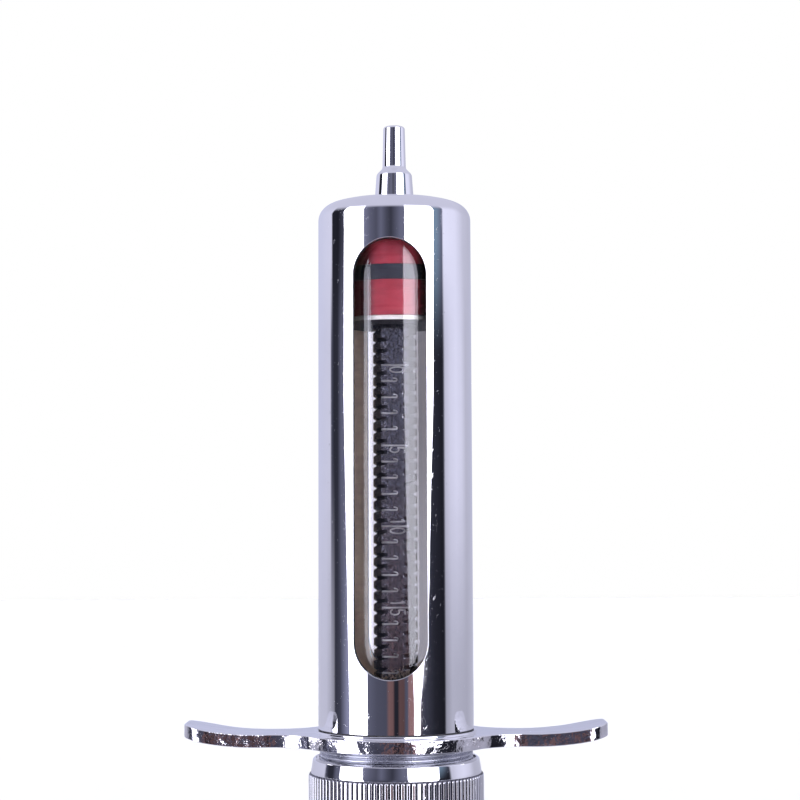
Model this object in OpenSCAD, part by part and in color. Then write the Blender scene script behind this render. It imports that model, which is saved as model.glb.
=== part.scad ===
// Dosing syringe: a glass measuring tube held in a windowed metal barrel, with a slip nozzle, a finger
// flange, a screw cap and a threaded plunger rod that carries a dose nut and a thumb button.
// Millimetres. +Z points to the nozzle, the finger flange's wings lie along X, the windows face -Y and +Y,
// and the origin is the centre of the thumb button's face. The plunger stands fully forward.

/* [Barrel] */
// Outside radius of the metal barrel
barrel_r = 14; // [13.9:0.1:14.5]
// Wall of the metal barrel
barrel_wall = 2; // [1.8:0.1:2]
// Length of the barrel in front of the finger flange
barrel_len = 95.45; // [90:0.05:110]
// Radius of the rounded shoulder at the nozzle end
shoulder_r = 3; // [2:0.1:3.5]
// Thickness of the barrel's end wall
end_wall = 3; // [2.5:0.1:4]
// Width of the two windows
window_w = 13; // [9:0.5:14]
// Length of the windows
window_len = 77.6; // [60:0.1:78]
// Distance from the flange to the windows
window_rise = 9.7; // [6:0.1:12]
// Turn of the windows away from the flange's own axes, in degrees
window_turn = -4; // [-8:1:8]
// Pitch of the cap's thread
cap_pitch = 0.75; // [0.5:0.25:1]

/* [Glass and seals] */
// Bore radius of the glass tube
bore_r = 10.45; // [10:0.05:10.5]
// Wall of the glass tube
glass_wall = 1.4; // [1.1:0.1:1.4]
// Thickness of the two glass gaskets
gasket_t = 1.2; // [0.8:0.1:1.5]

/* [Nozzle] */
// Radius of the slip cone at its tip
tip_r = 1.97; // [1.9:0.01:2.1]
// Length of the slip cone
tip_len = 7.7; // [6:0.1:9]
// Radius of the liquid passage
passage_r = 1; // [0.6:0.1:1.2]
// Largest radius of the nozzle's stem
stem_r = 3.75; // [3.5:0.05:4.5]

/* [Piston] */
// Thickness of the front plate
plate_t = 2.7; // [2:0.1:3]
// Thickness of each red seal
seal_t = 6.4; // [5:0.1:7]
// Thickness of the black seal
middle_t = 2.75; // [2:0.05:4]
// Thickness of the rear washer
washer_t = 0.85; // [0.6:0.05:1.5]

/* [Rod] */
// Crest radius of the rod's thread
rod_r = 4; // [3.8:0.05:4.2]
// Distance between the rod's two flats
flat_gap = 6.2; // [5.8:0.1:6.6]
// Pitch of the rod's thread
rod_pitch = 2.05; // [1.5:0.05:2.5]
// Length of rod between the thumb button's hub and the cap
rod_out = 32.2; // [30:0.1:45]

/* [Finger flange] */
// Span over both wings
wing_span = 75.7; // [70:0.1:90]
// Thickness of the flange
flange_t = 2.3; // [1.8:0.05:3]
// Radius of the ring around the barrel
ring_r = 17.3; // [16.5:0.1:18.5]
// Width of each wing at its waist
waist_w = 10; // [8:0.5:11]
// Width of each wing near its tip
tip_w = 13.4; // [12:0.1:15]
// Height by which the wing tips curl towards the nozzle
tip_rise = 1.8; // [0:0.1:3]

/* [Cap, nut and button] */
// Radius over the cap's knurl
cap_r = 15.74; // [15.6:0.01:17]
// Length of the cap
cap_len = 17; // [16:0.1:20]
// Number of ridges round the cap
cap_ridges = 103; // [60:1:120]
// Radius over the dose nut's knurl
nut_r = 9.2; // [8:0.1:11]
// Thickness of the dose nut
nut_h = 6; // [4:0.5:7]
// Radius of the thumb button
button_r = 12.5; // [11:0.5:15]
// Height of the thumb button with its hub
button_h = 10; // [9:0.5:12]

/* [Hidden] */
$fn = 96;

run_gap = 0.05;             // radial clearance of a shaft that turns or slides
face_gap = 0.03;            // axial clearance between faces of bodies that move apart
glass_r = bore_r + glass_wall;
shell_bore_r = barrel_r - barrel_wall;
thread_r = barrel_r - 0.14; // crest of the cap's thread on the barrel
thread_depth = 0.42;
guide_len = 6;              // end wall of the cap, where the rod is guided
ring_t = 1.5;               // pressure ring
cap_clear = 4.8;            // bare thread between flange and cap
boss_h = 0.4;               // raised collar of the flange round the barrel
disc_h = 4.2;               // knurled disc of the thumb button
stud_r = 2.4;               // rod's front stud, which carries the piston
bush_r = 6.2;               // guide bush, pressed into the cap's end wall
pin_r = 1;                  // cross pin of the thumb button
seal_r = bore_r - 0.03;     // piston seals, drawn without their squeeze
disc_r = bore_r - 0.25;     // metal discs in front of the seals and behind them
ring_hole_r = stud_r + 0.1; // hole of the seals and the rear washer, slipped over the stud
gasket_hole_r = bore_r + 0.15;
seat_r = barrel_r - 0.1;    // turned-down seat of the finger flange
neck_r = stem_r - 0.75;     // part of the nozzle that is set in the end wall

cap_z = button_h + rod_out;
ring_z = cap_z + guide_len + face_gap;
stop_z = ring_z + ring_t;
glass_z = stop_z + gasket_t;
shell_z = glass_z + 0.6;
flange_z = cap_z + cap_len + cap_clear;
plate_z = flange_z - boss_h - flange_t;
top_z = flange_z + barrel_len;
wall_z = top_z - end_wall;
glass_top = wall_z - gasket_t;
front_z = wall_z - 0.25;
washer_z = front_z - plate_t - 2 * seal_t - middle_t - washer_t;
rear_seal_z = washer_z + washer_t;
middle_z = rear_seal_z + seal_t;
front_seal_z = middle_z + middle_t;
front_plate_z = front_seal_z + seal_t;
nut_z = button_h + 1.5;
pin_z = (disc_h + button_h) / 2;
flats_z = button_h + 0.4;   // the flats start just above the thumb button's hub

// Points along an arc round c, from angle a to angle b, in n steps
function arc(c, r, a, b, n = 8) =
    [for (i = [0:n]) let (t = a + (b - a) * i / n) c + r * [cos(t), sin(t)]];

// Outline of n straight knurl ridges between two radii
function knurl(n, crest, root) =
    [for (i = [0:2 * n - 1]) let (t = i * 180 / n, r = i % 2 == 0 ? crest : root) r * [cos(t), sin(t)]];

// Outer edge of a thread drawn as rings, from z0 up to z1: a flat crest and a V groove in each pitch
function thread_edge(r, depth, pitch, crest, z0, z1) =
    [for (i = [0:floor((z1 - z0) / pitch) - 1]) let (z = z0 + i * pitch)
        each [[r, z], [r, z + crest], [r - depth, z + (crest + pitch) / 2]]];

module tube(r_out, r_in, z, h) {
    rotate_extrude() translate([r_in, z]) square([r_out - r_in, h]);
}

// A knurled band from z up to z + h
module knurled_band(n, crest, root, z, h) {
    translate([0, 0, z]) linear_extrude(h) polygon(knurl(n, crest, root));
}

// Both windows, cut straight through the barrel
module window_cut() {
    half = window_w / 2;
    run = window_len - window_w;
    rotate([0, 0, window_turn])
        translate([0, 2 * barrel_r, flange_z + window_rise + half])
            rotate([90, 0, 0])
                linear_extrude(4 * barrel_r) {
                    circle(half);
                    translate([-half, 0]) square([window_w, run]);
                    translate([0, run]) circle(half);
                }
}

module barrel_shell() {
    run_out = 0.3;
    color("silver") difference() {
        rotate_extrude() polygon(concat(
            [[shell_bore_r, shell_z]],
            thread_edge(thread_r, thread_depth, cap_pitch, cap_pitch * 0.35, shell_z, plate_z - run_out),
            [[thread_r, plate_z - run_out], [thread_r, plate_z], [seat_r, plate_z], [seat_r, flange_z],
             [barrel_r, flange_z]],
            arc([barrel_r - shoulder_r, top_z - shoulder_r], shoulder_r, 0, 90),
            [[neck_r, top_z], [neck_r, wall_z], [shell_bore_r, wall_z]]));
        window_cut();
    }
}

module nozzle() {
    cone_z = top_z + 7.05;
    lip = 0.4;
    tip_z = cone_z + tip_len;
    root_r = tip_r + 0.03 * tip_len;
    color("silver") rotate_extrude() polygon(concat(
        [[passage_r, wall_z], [neck_r, wall_z], [neck_r, top_z], [stem_r, top_z],
         [stem_r - 0.45, cone_z - 2.1]],
        arc([stem_r - 1.55, cone_z - 2.1], 1.1, 0, 75, 6),
        [[root_r, cone_z]],
        arc([tip_r - lip, tip_z - lip], lip, 0, 90, 4),
        [[passage_r, tip_z]]));
}

module front_gasket() {
    color("ivory") tube(glass_r, gasket_hole_r, glass_top, gasket_t);
}

module rear_gasket() {
    color("ivory") tube(glass_r, gasket_hole_r, stop_z, gasket_t);
}

module glass_tube() {
    color("lightcyan", 0.4) tube(glass_r, bore_r, glass_z, glass_top - glass_z);
}

// One quarter of the flange's outline: ring, hollow blend, widening wing and rounded corner
function flange_quarter() =
    let (blend_r = 10, corner_r = 4, half = wing_span / 2, side = waist_w / 2 + blend_r,
         blend_x = sqrt(pow(ring_r + blend_r, 2) - side * side), lean = atan2(side, blend_x))
    concat(
        arc([0, 0], ring_r, 90, lean, 10),
        arc([blend_x, side], blend_r, 180 + lean, 270, 8),
        arc([half - corner_r, tip_w / 2 - corner_r], corner_r, 100, 0, 6));

// Side view of the flange: flat in the middle, wings curled up at both tips
module flange_side() {
    bend_x = 24;
    bend_l = wing_span / 2 - bend_x;
    steps = 40;
    xs = [for (i = [-steps:steps]) i / steps * (wing_span / 2 + 1)];
    lift = [for (x = xs) [x, tip_rise * pow(max(0, abs(x) - bend_x) / bend_l, 2)]];
    polygon(concat(
        [for (p = lift) p],
        [for (i = [len(lift) - 1:-1:0]) lift[i] + [0, flange_t]]));
}

module finger_flange() {
    q = flange_quarter();
    n = len(q);
    flip = [for (i = [n - 1:-1:0]) [q[i][0], -q[i][1]]];
    right = concat(q, flip);
    outline = concat(right, [for (i = [2 * n - 1:-1:0]) [-right[i][0], right[i][1]]]);
    color("silver") difference() {
        union() {
            intersection() {
                translate([0, 0, plate_z - 5]) linear_extrude(20) polygon(outline);
                translate([0, 30, plate_z]) rotate([90, 0, 0]) linear_extrude(60) flange_side();
            }
            translate([0, 0, plate_z + flange_t / 2])
                cylinder(r1 = barrel_r + 1, r2 = barrel_r + 0.55, h = flange_t / 2 + boss_h);
        }
        translate([0, 0, plate_z - 1]) cylinder(r = seat_r, h = 10);
    }
}

module pressure_ring() {
    color("silver") tube(shell_bore_r + 0.9, rod_r + 0.3, ring_z, ring_t);
}

module end_cap() {
    rim_z = cap_z + cap_len;
    step_z = rim_z - 2.75;
    band_z = cap_z + 4;
    collar_r = cap_r - 0.42;
    bore = thread_r + run_gap + 0.01;
    color("silver") difference() {
        union() {
            rotate_extrude() polygon(concat(
                [[0, cap_z], [collar_r - 1.2, cap_z], [collar_r, cap_z + 1.2], [collar_r, step_z]],
                arc([collar_r - 0.85, rim_z - 0.5], 0.5, 20, 90, 4),
                [[0, rim_z]]));
            knurled_band(cap_ridges, cap_r, cap_r - 0.34, band_z, step_z - band_z);
        }
        translate([0, 0, cap_z + guide_len]) cylinder(r = bore, h = cap_len);
        translate([0, 0, rim_z - 1.2]) cylinder(r = bore + 0.45, h = 2);
        translate([0, 0, cap_z - 1]) cylinder(r = bush_r, h = guide_len + 2);
    }
}

module guide_bush() {
    color("goldenrod") tube(bush_r, rod_r + run_gap, cap_z, guide_len);
}

module piston_front_plate() {
    color("silver") rotate_extrude() polygon([
        [stud_r + run_gap, front_plate_z], [disc_r, front_plate_z],
        [disc_r, front_z - 0.5], [disc_r - 0.5, front_z], [stud_r + run_gap, front_z]]);
}

// A seal ring with a raised lip at each end
module seal_ring(z, h) {
    lip_h = h * 0.2;
    waist_r = seal_r - 0.15;
    rotate_extrude() polygon([
        [ring_hole_r, z], [seal_r, z], [seal_r, z + lip_h], [waist_r, z + lip_h * 1.5],
        [waist_r, z + h - lip_h * 1.5], [seal_r, z + h - lip_h], [seal_r, z + h],
        [ring_hole_r, z + h]]);
}

module front_seal() {
    color("firebrick") seal_ring(front_seal_z, seal_t);
}

module middle_seal() {
    color([0.12, 0.12, 0.14]) tube(seal_r, ring_hole_r, middle_z, middle_t);
}

module rear_seal() {
    color("firebrick") seal_ring(rear_seal_z, seal_t);
}

module piston_rear_washer() {
    color("silver") tube(disc_r, ring_hole_r, washer_z, washer_t);
}

// The cross hole for the pin, through hub and rod
module pin_hole() {
    translate([0, 10, pin_z]) rotate([90, 0, 0]) cylinder(r = pin_r, h = 20);
}

// The rod's two flats: what lies between them
module between_flats(gap, z, h) {
    translate([-20, -gap / 2, z]) cube([40, gap, h]);
}

module piston_rod() {
    shoulder_z = washer_z - face_gap;
    foot_z = disc_h - 1;
    plain_z = shoulder_z - 1.5;
    crest = rod_pitch * 0.6;
    color("silver") difference() {
        intersection() {
            rotate_extrude() polygon(concat(
                [[0, foot_z], [rod_r, foot_z], [rod_r, flats_z]],
                thread_edge(rod_r, 0.62, rod_pitch, crest, flats_z, plain_z),
                [[rod_r, plain_z], [rod_r, shoulder_z], [stud_r, shoulder_z], [stud_r, front_z - 0.3],
                 [0, front_z - 0.3]]));
            union() {
                between_flats(flat_gap, flats_z, front_z);
                between_flats(3 * rod_r, 0, flats_z);
            }
        }
        pin_hole();
    }
}

module dose_washer() {
    z = nut_z + nut_h + face_gap;
    color("silver") difference() {
        translate([0, 0, z]) cylinder(r = 7.6, h = 1.2);
        intersection() {
            translate([0, 0, z - 1]) cylinder(r = rod_r + run_gap, h = 4);
            between_flats(flat_gap + 2 * run_gap, z - 1, 4);
        }
    }
}

module dose_nut() {
    edge = 0.9;
    color("silver") difference() {
        union() {
            translate([0, 0, nut_z]) cylinder(r1 = nut_r - 1.3, r2 = nut_r - 0.45, h = edge);
            knurled_band(60, nut_r, nut_r - 0.35, nut_z + edge, nut_h - 2 * edge);
            translate([0, 0, nut_z + nut_h - edge]) cylinder(r1 = nut_r - 0.45, r2 = nut_r - 1.3, h = edge);
        }
        translate([0, 0, nut_z - 1]) cylinder(r = rod_r + run_gap, h = nut_h + 2);
    }
}

// A knurled disc with a dished face, and the hub that is pinned to the rod
module thumb_button() {
    hub_r = 6.6;
    color("silver") difference() {
        union() {
            rotate_extrude() polygon(concat(
                [[0, 0.5], [4, 0.4], [7.5, 0]],
                arc([button_r - 1.5, 1.1], 1.1, -90, 0, 4),
                [[button_r - 0.4, disc_h - 0.8], [button_r - 1.2, disc_h], [hub_r, disc_h],
                 [hub_r, button_h - 0.6], [hub_r - 0.6, button_h], [0, button_h]]));
            knurled_band(80, button_r, button_r - 0.33, 1.3, disc_h - 2.3);
        }
        translate([0, 0, disc_h - 1]) cylinder(r = rod_r, h = button_h);
        pin_hole();
    }
}

module button_pin() {
    color("gray") translate([0, 6.4, pin_z]) rotate([90, 0, 0]) cylinder(r = pin_r, h = 12.8);
}

barrel_shell();
nozzle();
front_gasket();
glass_tube();
finger_flange();
rear_gasket();
pressure_ring();
end_cap();
guide_bush();
piston_front_plate();
front_seal();
middle_seal();
rear_seal();
piston_rear_washer();
piston_rod();
dose_washer();
dose_nut();
thumb_button();
button_pin();
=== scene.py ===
"""Looks of the dosing syringe around its CAD frame. Meshes are worked out in millimetres."""
from collections import namedtuple
import math

import bmesh
import bpy
from mathutils import Matrix, Vector


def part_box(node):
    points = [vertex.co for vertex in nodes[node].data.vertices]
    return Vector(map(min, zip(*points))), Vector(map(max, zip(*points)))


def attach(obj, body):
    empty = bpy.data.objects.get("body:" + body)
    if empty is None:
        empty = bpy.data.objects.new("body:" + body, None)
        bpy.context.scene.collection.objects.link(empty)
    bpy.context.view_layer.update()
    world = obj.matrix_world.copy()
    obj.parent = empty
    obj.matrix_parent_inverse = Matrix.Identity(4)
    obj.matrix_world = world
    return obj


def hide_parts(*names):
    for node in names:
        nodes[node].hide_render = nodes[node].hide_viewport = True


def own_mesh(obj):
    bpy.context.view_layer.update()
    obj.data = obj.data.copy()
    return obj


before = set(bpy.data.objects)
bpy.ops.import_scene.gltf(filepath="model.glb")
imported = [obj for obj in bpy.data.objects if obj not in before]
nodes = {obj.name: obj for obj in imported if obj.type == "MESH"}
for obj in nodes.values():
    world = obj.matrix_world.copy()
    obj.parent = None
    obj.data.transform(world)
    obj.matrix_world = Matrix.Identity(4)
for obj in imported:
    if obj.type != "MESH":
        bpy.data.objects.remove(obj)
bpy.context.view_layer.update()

MM = 0.001
TAU = 2 * math.pi


def box_mm(node):
    """Lowest and highest corner of a CAD node, in millimetres."""
    low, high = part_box(node)
    return low / MM, high / MM


# --- sizes, in millimetres

SHELL_LOW, SHELL_HIGH = box_mm("barrel_shell")
FLANGE_LOW, FLANGE_HIGH = box_mm("finger_flange")
GLASS_LOW, GLASS_HIGH = box_mm("glass_tube")
CAP_LOW, CAP_HIGH = box_mm("end_cap")
NOZZLE_LOW, NOZZLE_HIGH = box_mm("nozzle")
ROD_LOW, ROD_HIGH = box_mm("piston_rod")
NUT_LOW, NUT_HIGH = box_mm("dose_nut")
KEY_LOW, KEY_HIGH = box_mm("dose_washer")
BUTTON_LOW, BUTTON_HIGH = box_mm("thumb_button")
PLATE_LOW, PLATE_HIGH = box_mm("piston_front_plate")
WASHER_LOW, WASHER_HIGH = box_mm("piston_rear_washer")

# Gaps and steps that the boxes don't tell, the same as in the CAD source.
RUN_GAP = 0.05
FACE_GAP = 0.03
SHELL_WALL = 2.0
SEAT_STEP = 0.1
THREAD_STEP = 0.14
THREAD_DEPTH = 0.42
CAP_PITCH = 0.75
FLANGE_T = 2.3
BOSS_H = 0.4
STUD_R = 2.4
ROD_FLAT = 3.1
ROD_PITCH = 2.05
WINDOW_HALF = 6.5
WINDOW_RISE = 9.7
WINDOW_LENGTH = 77.6
WINDOW_TURN = math.radians(-4)

BARREL_R = SHELL_HIGH.x
SHELL_BORE = BARREL_R - SHELL_WALL
SHOULDER_R = 3.0
SEAT_R = BARREL_R - SEAT_STEP
THREAD_R = BARREL_R - THREAD_STEP
FLANGE_TOP = FLANGE_LOW.z + FLANGE_T + BOSS_H
SEAM_H = 0.25
BARREL_FOOT = FLANGE_TOP + SEAM_H
WINDOW_LOW = FLANGE_TOP + WINDOW_RISE
WINDOW_HIGH = WINDOW_LOW + WINDOW_LENGTH
FRONT = -math.pi / 2 + WINDOW_TURN
GLASS_BORE = box_mm("front_seal")[1].x + FACE_GAP
BARREL_ROOF = GLASS_HIGH.z + 1.2
KNURL_DEPTH = 0.4
RIDGE_COLUMNS = 10

ROD_R = ROD_HIGH.x
RING_HOLE_R = STUD_R + 0.1
ROD_DEPTH = 0.66
ROD_CREST = 0.58
ROD_SHOULDER = WASHER_LOW.z - FACE_GAP
ROD_THREAD_TOP = ROD_SHOULDER - 0.8
FLATS_LOW = BUTTON_HIGH.z + 0.4

ML = 1000
MARK_STEP = ML / (math.pi * GLASS_BORE ** 2)
MARK_COUNT = 30
ZERO_MARK = WASHER_LOW.z - 7.5

# Tolerances of the mesh tools, in metres.
MERGE = 2e-7
SLIVER = 1e-8


# --- mesh tools

def rounded(points, steps=4):
    """A closed path through (r, z, fillet) points, each corner turned into an arc of its fillet's radius."""
    room = 0.49
    path = []
    for i, (r, z, fillet) in enumerate(points):
        corner = Vector((r, z))
        if fillet == 0:
            path.append(corner)
            continue
        before = Vector(points[i - 1][:2]) - corner
        after = Vector(points[(i + 1) % len(points)][:2]) - corner
        half = before.angle(after) / 2
        reach = min(fillet / math.tan(half), before.length * room, after.length * room)
        radius = reach * math.tan(half)
        start = corner + before.normalized() * reach
        end = corner + after.normalized() * reach
        inward = (before.normalized() + after.normalized()).normalized()
        centre = corner + inward * (radius / math.sin(half))
        for k in range(steps + 1):
            direction = (start - centre).lerp(end - centre, k / steps)
            path.append(centre + direction.normalized() * radius)
    return path


def join(parts):
    """One (vertices, faces) pair from several."""
    verts, faces = [], []
    for more, polys in parts:
        start = len(verts)
        verts += more
        faces += [tuple(start + i for i in poly) for poly in polys]
    return verts, faces


def shading_normals(work, cylinders):
    """A normal for each vertex from its faces' normals by area, and exactly radial on the cylinders."""
    on_wall, past_end = 0.002, 0.01
    normals = []
    for vert in work.verts:
        total = Vector((0, 0, 0))
        for face in vert.link_faces:
            total += face.normal * face.calc_area()
        normal = total.normalized() if total.length > 0 else Vector((0, 0, 1))
        reach = math.hypot(vert.co.x, vert.co.y)
        for radius, low, high in cylinders:
            if abs(reach / MM - radius) < on_wall and low - past_end < vert.co.z / MM < high + past_end:
                outward = Vector((vert.co.x, vert.co.y, 0)) / reach
                normal = outward if outward.dot(normal) > 0 else -outward
        normals.append(normal)
    return normals


def build(name, shape, body, stands_for=None, cylinders=()):
    """Makes a closed piece from (vertices, faces) in millimetres, with its faces outward and smooth shading.

    Each of the cylinders is (radius, low z, high z).
    """
    mesh = bpy.data.meshes.new(name)
    mesh.from_pydata([Vector(v) * MM for v in shape[0]], [], shape[1])
    work = bmesh.new()
    work.from_mesh(mesh)
    bmesh.ops.remove_doubles(work, verts=work.verts, dist=MERGE)
    bmesh.ops.dissolve_degenerate(work, edges=work.edges, dist=SLIVER)
    bmesh.ops.delete(work, geom=[edge for edge in work.edges if not edge.link_faces], context="EDGES")
    bmesh.ops.recalc_face_normals(work, faces=work.faces)
    work.normal_update()
    work.to_mesh(mesh)
    normals = shading_normals(work, cylinders)
    open_edges = sum(1 for edge in work.edges if len(edge.link_faces) != 2)
    work.free()
    if open_edges:
        raise ValueError(f"{name} isn't closed: {open_edges} edges without exactly two faces")
    mesh.polygons.foreach_set("use_smooth", [True] * len(mesh.polygons))
    mesh.normals_split_custom_set_from_vertices(normals)
    piece = bpy.data.objects.new(name, mesh)
    bpy.context.scene.collection.objects.link(piece)
    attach(piece, body)
    if stands_for:
        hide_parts(stands_for)
    return piece


def grid_faces(rows, columns, closed_rows=False):
    """Quads between rows of points that each run once round the axis."""
    faces = []
    for i in range(rows if closed_rows else rows - 1):
        below, above = i * columns, (i + 1) % rows * columns
        for j in range(columns):
            k = (j + 1) % columns
            faces.append((below + j, below + k, above + k, above + j))
    return faces


def lathe(path, columns=192, ridge=None):
    """A closed path turned about Z. ridge(angle, r, z) may change the radius."""
    verts = []
    for r, z in path:
        for j in range(columns):
            angle = TAU * j / columns
            reach = ridge(angle, r, z) if ridge else r
            verts.append((reach * math.cos(angle), reach * math.sin(angle), z))
    return verts, grid_faces(len(path), columns, closed_rows=True)


def upright(r, low, high, steps):
    """Points of a path straight up a cylinder, ends left out."""
    return [(r, low + (high - low) * k / steps, 0) for k in range(1, steps)]


def knurled_wall(r, low, high):
    """Points of a path up a knurled cylinder, close together where the ridges fade out at both ends."""
    end = 0.5
    heights = [low, low + end, high - end, high]
    path = [(r, low, 0)]
    for bottom, top, steps in zip(heights, heights[1:], (5, 6, 5)):
        path += upright(r, bottom, top, steps) + [(r, top, 0)]
    return path


def knurl(ridges, low, high, outer):
    """A ridge function for lathe: straight rounded ridges between two heights, fading out at both ends."""
    fade, skin, fullness = 0.4, 0.02, 1.5

    def ridge(angle, r, z):
        if r < outer - skin or not low <= z <= high:
            return r
        wave = min(1, fullness * abs(math.sin(angle * ridges / 2)))
        end = math.sqrt(max(0, min(1, (z - low) / fade, (high - z) / fade)))
        return r - KNURL_DEPTH * (1 - wave * end)

    return ridge


Spot = namedtuple("Spot", "y z reach steep")


def spots(piece):
    """Each face with the place of its centre, its distance from the axis, and whether it stands steep."""
    wall = 0.6
    for face in piece.data.polygons:
        x, y, z = face.center / MM
        yield face, Spot(y, z, math.hypot(x, y), abs(face.normal.z) < wall)


def sort_faces(piece, belongs):
    """Gives the second material to the faces whose spot belongs."""
    for face, spot in spots(piece):
        if belongs(spot):
            face.material_index = 1


def thread_share(phase, crest):
    """Depth share, 0 to 1, of a V groove at a phase of the pitch, behind a flat crest."""
    if phase <= crest:
        return 0
    return 1 - abs((phase - crest) / (1 - crest) * 2 - 1)


def thread_radius(angle, z, start, radius, depth, pitch, crest):
    """Radius of a right-hand thread at a point of its cylinder."""
    phase = ((z - start) / pitch - angle / TAU) % 1
    return radius - depth * thread_share(phase, crest)


def helix(angles, low, high, pitch, phases, surface, low_r, high_r):
    """A right-hand threaded surface between two heights, drawn along the helix. surface(angle, z) gives its
    radius, and low_r(angle) and high_r(angle) give the radius where it is cut off at either end."""
    first = angles[0]
    n, m = len(angles), len(phases)
    rows = (int((high - low) / pitch) + 3) * m
    verts, faces = [], []
    for k in range(rows):
        for angle in angles:
            raw = low - pitch + (k // m + phases[k % m] + (angle - first) / TAU) * pitch
            if raw <= low:
                r, z = low_r(angle), low
            elif raw >= high:
                r, z = high_r(angle), high
            else:
                r, z = surface(angle, raw), raw
            verts.append((r * math.cos(angle), r * math.sin(angle), z))
    for k in range(rows - 1):
        a, b = k * n, (k + 1) * n
        faces += [(a + j, a + j + 1, b + j + 1, b + j) for j in range(n - 1)]
        if k + m + 1 < rows:
            faces.append((a + n - 1, (k + m) * n, (k + m + 1) * n, b + n - 1))
    return verts, faces


# --- barrel shell

PATCH_HALF = 10.0
PATCH_RISE = WINDOW_HALF + 2.6
ARC_SIDE = 8
ARC_TOP = 24
STRAIGHT = 24


def window_turns():
    """Angles round half a window end, denser where the surrounding rectangle has its short side."""
    corner = math.atan2(PATCH_RISE, PATCH_HALF)
    turns = [corner * k / ARC_SIDE for k in range(ARC_SIDE)]
    turns += [corner + (math.pi - 2 * corner) * k / ARC_TOP for k in range(ARC_TOP)]
    turns += [math.pi - corner + corner * k / ARC_SIDE for k in range(ARC_SIDE + 1)]
    return turns, corner


def window_loop(radius, margin):
    """Points round a window's edge, grown by margin, and the matching points of the rectangle around it.

    The points are (angle, z) on a cylinder, with angles counted from the window's middle.
    """
    low, high = WINDOW_LOW + WINDOW_HALF, WINDOW_HIGH - WINDOW_HALF
    reach = WINDOW_HALF + margin
    side, side_frame = math.asin(reach / radius), PATCH_HALF / BARREL_R
    turns, corner = window_turns()
    edge, border = [], []
    for sign, centre in ((1, high), (-1, low)):
        for turn in turns:
            angle = math.asin(reach * math.cos(turn) / radius)
            edge.append((sign * angle, centre + sign * reach * math.sin(turn)))
            if turn < corner - 1e-9:
                x, z = PATCH_HALF, PATCH_HALF * math.tan(turn)
            elif turn > math.pi - corner + 1e-9:
                x, z = -PATCH_HALF, PATCH_HALF * math.tan(math.pi - turn)
            else:
                x, z = PATCH_RISE / math.tan(turn), PATCH_RISE
            border.append((sign * x / BARREL_R, centre + sign * z))
        for k in range(1, STRAIGHT):
            z = centre - sign * (high - low) * k / STRAIGHT
            edge.append((-sign * side, z))
            border.append((-sign * side_frame, z))
    return edge, border


def between(edge, border, radius, share):
    """A ring of (radius, angle, z) points, a share of the way from a window's edge to its rectangle."""
    ring = []
    for (angle, z), (border_angle, border_z) in zip(edge, border):
        ring.append((radius, angle + (border_angle - angle) * share, z + (border_z - z) * share))
    return ring


def window_patch(middle):
    """Bore, wall, rounded rim and outside round one window, whose middle looks along the given angle."""
    rim, rim_steps = 0.12, 4
    shares = (0.1, 0.3, 0.6, 1)
    edge, border = window_loop(SHELL_BORE, 0)
    rings = [between(edge, border, SHELL_BORE, share) for share in reversed((0, *shares))]
    for k in range(rim_steps + 1):
        turn = math.pi / 2 * k / rim_steps
        radius = BARREL_R - rim * (1 - math.sin(turn))
        edge, border = window_loop(radius, rim * (1 - math.cos(turn)))
        rings.append([(radius, a, z) for a, z in edge])
    rings += [between(edge, border, BARREL_R, share) for share in shares]
    verts = []
    for ring in rings:
        verts += [(r * math.cos(middle + a), r * math.sin(middle + a), z) for r, a, z in ring]
    return verts, grid_faces(len(rings), len(rings[0]))


def shell_columns():
    """Angles round the barrel that meet both windows' rectangles, and how many lie across one of them."""
    border = window_loop(BARREL_R, 0)[1]
    half = PATCH_HALF / BARREL_R
    across = sorted({round(a, 7) for a, z in border})
    side_steps = 36
    side = [half + (math.pi - 2 * half) * k / side_steps for k in range(1, side_steps)]
    angles = [FRONT + a for a in across + side]
    return angles + [a + math.pi for a in angles], len(across)


def shell_band(path, angles, across, heights):
    """Rows of points round the barrel, with no faces where the window rectangles are."""
    n = len(angles)
    verts = [(r * math.cos(a), r * math.sin(a), z) for r, z in path for a in angles]
    faces = []
    for face in grid_faces(len(path), n):
        row, column = divmod(face[0], n)
        (r0, z0), (r1, z1) = path[row], path[row + 1]
        wall = r0 == r1 and r0 >= SHELL_BORE
        slack = 1e-3
        inside = min(z0, z1) > heights[0] - slack and max(z0, z1) < heights[-1] + slack
        if not (wall and inside and column % (n // 2) < across - 1):
            faces.append(face)
    return verts, faces


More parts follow.
